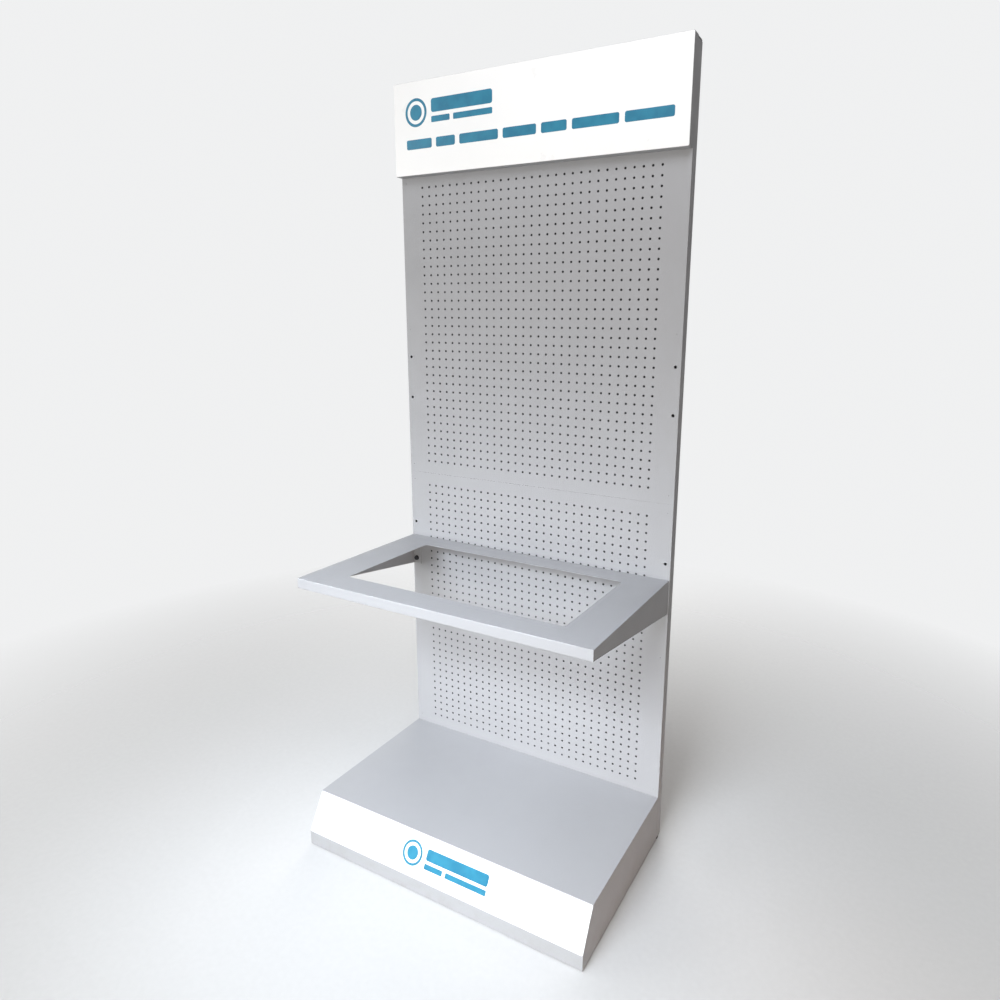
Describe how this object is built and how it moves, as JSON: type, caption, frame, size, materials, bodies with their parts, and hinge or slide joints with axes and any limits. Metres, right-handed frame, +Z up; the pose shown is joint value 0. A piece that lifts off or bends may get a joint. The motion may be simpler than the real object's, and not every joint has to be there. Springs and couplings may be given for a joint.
{
  "type": "pegboard display stand",
  "caption": "Free-standing shop display stand: two perforated steel panels on a tube frame, header box, shelf with an appliance cut-out, low base with a slanted front, levelling feet.",
  "frame": {"origin": "on the floor at the middle of the stand's footprint (the middle of its bounding box)", "axes": "+X to the stand's right as a shopper faces it, +Y from the front to the back, +Z up"},
  "size_m": [0.9, 0.5478, 2.2],
  "materials": {
    "powder_coat": "satin powder coat, fine texture",
    "white_sign": "white printed sheet, satin",
    "blue_vinyl": "cut vinyl film",
    "dark_zinc": "black zinc",
    "zinc_steel": "bright zinc",
    "black_plastic": "moulded nylon"
  },
  "bodies": {
    "stand": {"back_screws": "zinc_steel", "base_bolts": "dark_zinc", "base_deck": "powder_coat", "base_fascia": "powder_coat", "base_marks": "blue_vinyl", "base_sign": "white_sign", "base_washers": "dark_zinc", "bottom_rail": "powder_coat", "foot_lock_nuts": "zinc_steel", "foot_nuts": "zinc_steel", "header_back_sheet": "powder_coat", "header_box": "powder_coat", "header_marks": "blue_vinyl", "header_rail": "powder_coat", "header_screws": "dark_zinc", "header_sign": "white_sign", "left_base_side": "powder_coat", "left_deck_stiffener": "powder_coat", "left_foot_bracket": "powder_coat", "left_foot_insert": "black_plastic", "left_shelf_bracket": "powder_coat", "left_upright": "powder_coat", "lower_back_sheet": "powder_coat", "lower_pegboard": "powder_coat", "middle_rail": "powder_coat", "panel_screws": "powder_coat", "right_base_side": "powder_coat", "right_deck_stiffener": "powder_coat", "right_foot_bracket": "powder_coat", "right_foot_insert": "black_plastic", "right_shelf_bracket": "powder_coat", "right_upright": "powder_coat", "rivet_nuts": "dark_zinc", "shelf_bolts": "dark_zinc", "shelf_deck": "powder_coat", "shelf_washers": "dark_zinc", "top_rail": "powder_coat", "upper_back_sheet": "powder_coat", "upper_pegboard": "powder_coat", "upright_caps": "black_plastic"},
    "front_left_glide": {"front_left_foot_pad": "black_plastic"},
    "front_left_screw": {"front_left_foot_stem": "zinc_steel"},
    "front_right_glide": {"front_right_foot_pad": "black_plastic"},
    "front_right_screw": {"front_right_foot_stem": "zinc_steel"},
    "rear_left_glide": {"rear_left_foot_pad": "black_plastic"},
    "rear_left_screw": {"rear_left_foot_stem": "zinc_steel"},
    "rear_right_glide": {"rear_right_foot_pad": "black_plastic"},
    "rear_right_screw": {"rear_right_foot_stem": "zinc_steel"}
  },
  "joints": [
    {"name": "front_left_foot_travel", "type": "slide", "parent": "stand", "child": "front_left_glide", "axis": [0, 0, -1], "range_m": [0, 0.02]},
    {"name": "front_left_stem_spin", "type": "hinge", "parent": "front_left_glide", "child": "front_left_screw", "pos_m": [-0.39, -0.1997, 0.02], "axis": [0, 0, -1], "range_deg": [0, 4810]},
    {"name": "front_right_foot_travel", "type": "slide", "parent": "stand", "child": "front_right_glide", "axis": [0, 0, -1], "range_m": [0, 0.02]},
    {"name": "front_right_stem_spin", "type": "hinge", "parent": "front_right_glide", "child": "front_right_screw", "pos_m": [0.39, -0.1997, 0.02], "axis": [0, 0, -1], "range_deg": [0, 4810]},
    {"name": "rear_left_foot_travel", "type": "slide", "parent": "stand", "child": "rear_left_glide", "axis": [0, 0, -1], "range_m": [0, 0.02]},
    {"name": "rear_left_stem_spin", "type": "hinge", "parent": "rear_left_glide", "child": "rear_left_screw", "pos_m": [-0.435, 0.2575, 0.02], "axis": [0, 0, -1], "range_deg": [0, 4810]},
    {"name": "rear_right_foot_travel", "type": "slide", "parent": "stand", "child": "rear_right_glide", "axis": [0, 0, -1], "range_m": [0, 0.02]},
    {"name": "rear_right_stem_spin", "type": "hinge", "parent": "rear_right_glide", "child": "rear_right_screw", "pos_m": [0.435, 0.2575, 0.02], "axis": [0, 0, -1], "range_deg": [0, 4810]}
  ],
  "couplings": [
    {"joint": "front_left_stem_spin", "follows": "front_left_foot_travel", "rad_per_m": 4188.8},
    {"joint": "front_right_stem_spin", "follows": "front_right_foot_travel", "rad_per_m": 4188.8},
    {"joint": "rear_left_stem_spin", "follows": "rear_left_foot_travel", "rad_per_m": 4188.8},
    {"joint": "rear_right_stem_spin", "follows": "rear_right_foot_travel", "rad_per_m": 4188.8}
  ]
}
